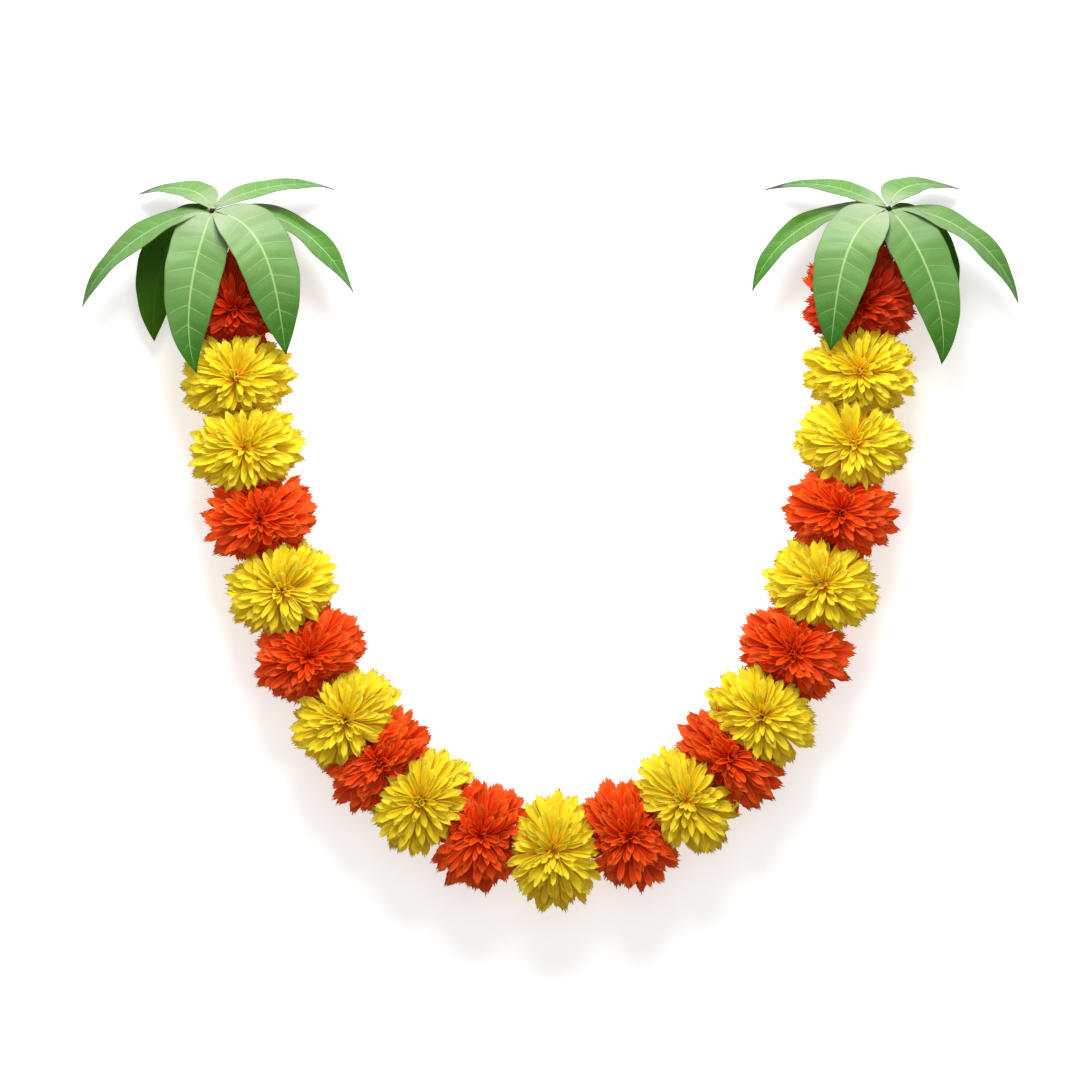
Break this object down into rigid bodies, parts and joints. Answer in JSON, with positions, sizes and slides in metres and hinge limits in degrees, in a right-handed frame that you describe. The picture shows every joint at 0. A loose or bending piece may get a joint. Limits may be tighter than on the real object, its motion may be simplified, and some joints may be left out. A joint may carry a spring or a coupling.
{
  "type": "flower garland",
  "caption": "Swag of round yellow and orange pompon blooms strung on a thread, with a whorl of long green leaves tied on at each end, laid flat on its back.",
  "frame": {"origin": "under the middle of the bounding box, on the surface the garland lies on", "axes": "+X across the swag to the right as seen from the front, +Y from the bottom of the swag to the leaf whorls, +Z out of the front, which the blooms face"},
  "size_m": [0.5861, 0.4567, 0.0731],
  "materials": {
    "petal_yellow": "matt petals",
    "petal_orange": "matt petals",
    "calyx_green": "matt, ribbed",
    "leaf_green": "waxy, veined",
    "thread_cotton": "twisted cotton",
    "tie_cotton": "wound cotton"
  },
  "bodies": {
    "root": {"bloom_01": "petal_orange", "bloom_02": "petal_yellow", "bloom_03": "petal_yellow", "bloom_04": "petal_orange", "bloom_05": "petal_yellow", "bloom_06": "petal_orange", "bloom_07": "petal_yellow", "bloom_08": "petal_orange", "bloom_09": "petal_yellow", "bloom_10": "petal_orange", "bloom_11": "petal_yellow", "bloom_12": "petal_orange", "bloom_13": "petal_yellow", "bloom_14": "petal_orange", "bloom_15": "petal_yellow", "bloom_16": "petal_orange", "bloom_17": "petal_yellow", "bloom_18": "petal_orange", "bloom_19": "petal_yellow", "bloom_20": "petal_yellow", "bloom_21": "petal_orange", "calyx_01": "calyx_green", "calyx_02": "calyx_green", "calyx_03": "calyx_green", "calyx_04": "calyx_green", "calyx_05": "calyx_green", "calyx_06": "calyx_green", "calyx_07": "calyx_green", "calyx_08": "calyx_green", "calyx_09": "calyx_green", "calyx_10": "calyx_green", "calyx_11": "calyx_green", "calyx_12": "calyx_green", "calyx_13": "calyx_green", "calyx_14": "calyx_green", "calyx_15": "calyx_green", "calyx_16": "calyx_green", "calyx_17": "calyx_green", "calyx_18": "calyx_green", "calyx_19": "calyx_green", "calyx_20": "calyx_green", "calyx_21": "calyx_green", "leaf_left_back_inner": "leaf_green", "leaf_left_back_outer": "leaf_green", "leaf_left_side_outer": "leaf_green", "leaf_left_under": "leaf_green", "leaf_left_front_outer": "leaf_green", "leaf_left_front_inner": "leaf_green", "leaf_left_side_inner": "leaf_green", "leaf_right_back_inner": "leaf_green", "leaf_right_back_outer": "leaf_green", "leaf_right_side_outer": "leaf_green", "leaf_right_under": "leaf_green", "leaf_right_front_outer": "leaf_green", "leaf_right_front_inner": "leaf_green", "leaf_right_side_inner": "leaf_green", "thread": "thread_cotton", "tie_left": "tie_cotton", "tie_right": "tie_cotton"}
  },
  "joints": []
}
